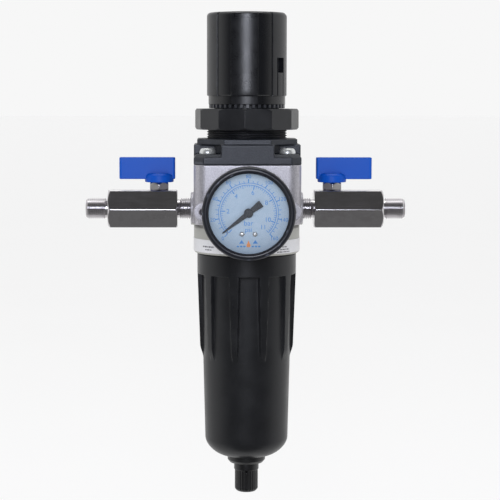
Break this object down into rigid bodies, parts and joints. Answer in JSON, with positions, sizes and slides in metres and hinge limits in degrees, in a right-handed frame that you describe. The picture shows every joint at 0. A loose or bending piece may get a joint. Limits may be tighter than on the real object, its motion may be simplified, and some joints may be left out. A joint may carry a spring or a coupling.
{
  "type": "filter regulator",
  "caption": "Compressed air filter-regulator with adjusting knob, dial gauge, ribbed filter bowl with twist drain, and a lever ball valve on the inlet and on the outlet.",
  "frame": {"origin": "on the axis of the panel neck, at the face of the bonnet that seats against the panel", "axes": "+Z along the neck axis up to the knob, +X along the port axis to the outlet, -Y towards the gauge face"},
  "size_m": [0.2, 0.1026, 0.3026],
  "materials": {
    "black_nylon": "satin",
    "black_nut": "satin",
    "slate_casting": "satin",
    "silver_casting": "satin",
    "label_film": "satin",
    "zinc_steel": "polished",
    "spring_steel": "satin",
    "brass": "satin",
    "black_bowl": "satin",
    "black_acetal": "satin",
    "grey_acetal": "satin",
    "filter_white": "matte",
    "nitrile": "matte",
    "ptfe": "satin",
    "chrome": "polished",
    "blue_nylon": "glossy",
    "bezel_black": "glossy",
    "dial_face": "satin",
    "needle_black": "satin",
    "clear_lens": "glossy"
  },
  "bodies": {
    "housing": {"bonnet": "slate_casting", "panel_nut": "black_nut", "bonnet_screws": "zinc_steel", "body": "silver_casting", "rear_port_plug": "zinc_steel", "body_label": "label_film", "valve_seat": "brass", "valve_guide": "grey_acetal", "poppet_spring": "spring_steel", "main_spring": "spring_steel", "diaphragm": "nitrile", "thrust_washer": "zinc_steel", "deflector": "grey_acetal", "filter_element": "filter_white", "tie_rod": "brass", "baffle": "grey_acetal", "baffle_nut": "brass", "gauge_stem": "brass", "gauge_case": "bezel_black", "gauge_bezel": "bezel_black", "gauge_lens": "clear_lens", "gauge_dial": "dial_face", "dial_screws": "zinc_steel", "stop_pin": "zinc_steel", "movement_frame": "brass", "bourdon_tube": "brass", "left_valve_body": "chrome", "left_valve_insert": "chrome", "right_valve_body": "chrome", "right_valve_insert": "chrome", "ball_seats": "ptfe", "stem_packings": "ptfe", "gland_nuts": "chrome"},
    "adjuster": {"adjusting_screw": "zinc_steel"},
    "knob": {"knob": "black_nylon"},
    "spring_seat": {"spring_seat": "zinc_steel"},
    "valve_train": {"diaphragm_plate": "zinc_steel", "diaphragm_nut": "brass", "valve_stem": "brass", "poppet": "nitrile"},
    "sector": {"sector_gear": "brass"},
    "pointer": {"pointer": "needle_black", "pointer_shaft": "brass"},
    "link": {"movement_link": "brass"},
    "left_lever": {"left_handle": "blue_nylon", "left_handle_screw": "zinc_steel", "left_stem": "chrome", "left_ball": "chrome"},
    "right_lever": {"right_handle": "blue_nylon", "right_handle_screw": "zinc_steel", "right_stem": "chrome", "right_ball": "chrome"},
    "bowl": {"bowl": "black_bowl", "bowl_o_ring": "nitrile", "drain_collar": "black_acetal", "drain_body": "brass", "drain_seal": "nitrile"},
    "drain_knob": {"drain_knob": "black_acetal"},
    "drain_stem": {"drain_stem": "brass"}
  },
  "joints": [
    {"name": "adjust_turn", "type": "hinge", "parent": "housing", "child": "adjuster", "pos_m": [0, 0, 0.05], "axis": [0, 0, 1], "range_deg": [-2880, 0]},
    {"name": "knob_lift", "type": "slide", "parent": "adjuster", "child": "knob", "axis": [0, 0, 1], "range_m": [-0.0024, 0]},
    {"name": "spring_seat_travel", "type": "slide", "parent": "housing", "child": "spring_seat", "axis": [0, 0, 1], "range_m": [-0.0121, 0], "deforming": ["main_spring"]},
    {"name": "valve_open", "type": "slide", "parent": "housing", "child": "valve_train", "axis": [0, 0, 1], "range_m": [-0.0015, 0], "stiffness_N_per_m": 400, "springref_m": 0.003, "deforming": ["poppet_spring", "diaphragm"]},
    {"name": "sector_swing", "type": "hinge", "parent": "housing", "child": "sector", "pos_m": [0, -0.052, -0.0602], "axis": [0, 1, 0], "range_deg": [-29.2, 0], "stiffness_Nm_per_rad": 0.005, "springref_deg": 11.46},
    {"name": "pointer_turn", "type": "hinge", "parent": "housing", "child": "pointer", "pos_m": [0, -0.052, -0.0427], "axis": [0, 1, 0], "range_deg": [0, 262.8]},
    {"name": "link_turn", "type": "hinge", "parent": "sector", "child": "link", "pos_m": [0.0045, -0.0513, -0.0602], "axis": [0, 1, 0], "range_deg": [0, 29.2]},
    {"name": "left_lever_turn", "type": "hinge", "parent": "housing", "child": "left_lever", "pos_m": [-0.0549, 0, -0.044], "axis": [0, 0, 1], "range_deg": [-90, 0]},
    {"name": "right_lever_turn", "type": "hinge", "parent": "housing", "child": "right_lever", "pos_m": [0.0535, 0, -0.044], "axis": [0, 0, 1], "range_deg": [-90, 0]},
    {"name": "bowl_drop", "type": "slide", "parent": "housing", "child": "bowl", "axis": [0, 0, 1], "range_m": [-0.08, 0]},
    {"name": "drain_turn", "type": "hinge", "parent": "bowl", "child": "drain_knob", "pos_m": [0, 0, -0.21], "axis": [0, 0, 1], "range_deg": [0, 180]},
    {"name": "drain_stem_lift", "type": "slide", "parent": "bowl", "child": "drain_stem", "axis": [0, 0, 1], "range_m": [0, 0.0015]}
  ],
  "couplings": [
    {"joint": "spring_seat_travel", "follows": "adjust_turn", "m_per_rad": 0.00023873},
    {"joint": "pointer_turn", "follows": "sector_swing", "ratio": -9},
    {"joint": "link_turn", "follows": "sector_swing", "ratio": -1},
    {"joint": "drain_stem_lift", "follows": "drain_turn", "m_per_rad": 0.000477}
  ]
}
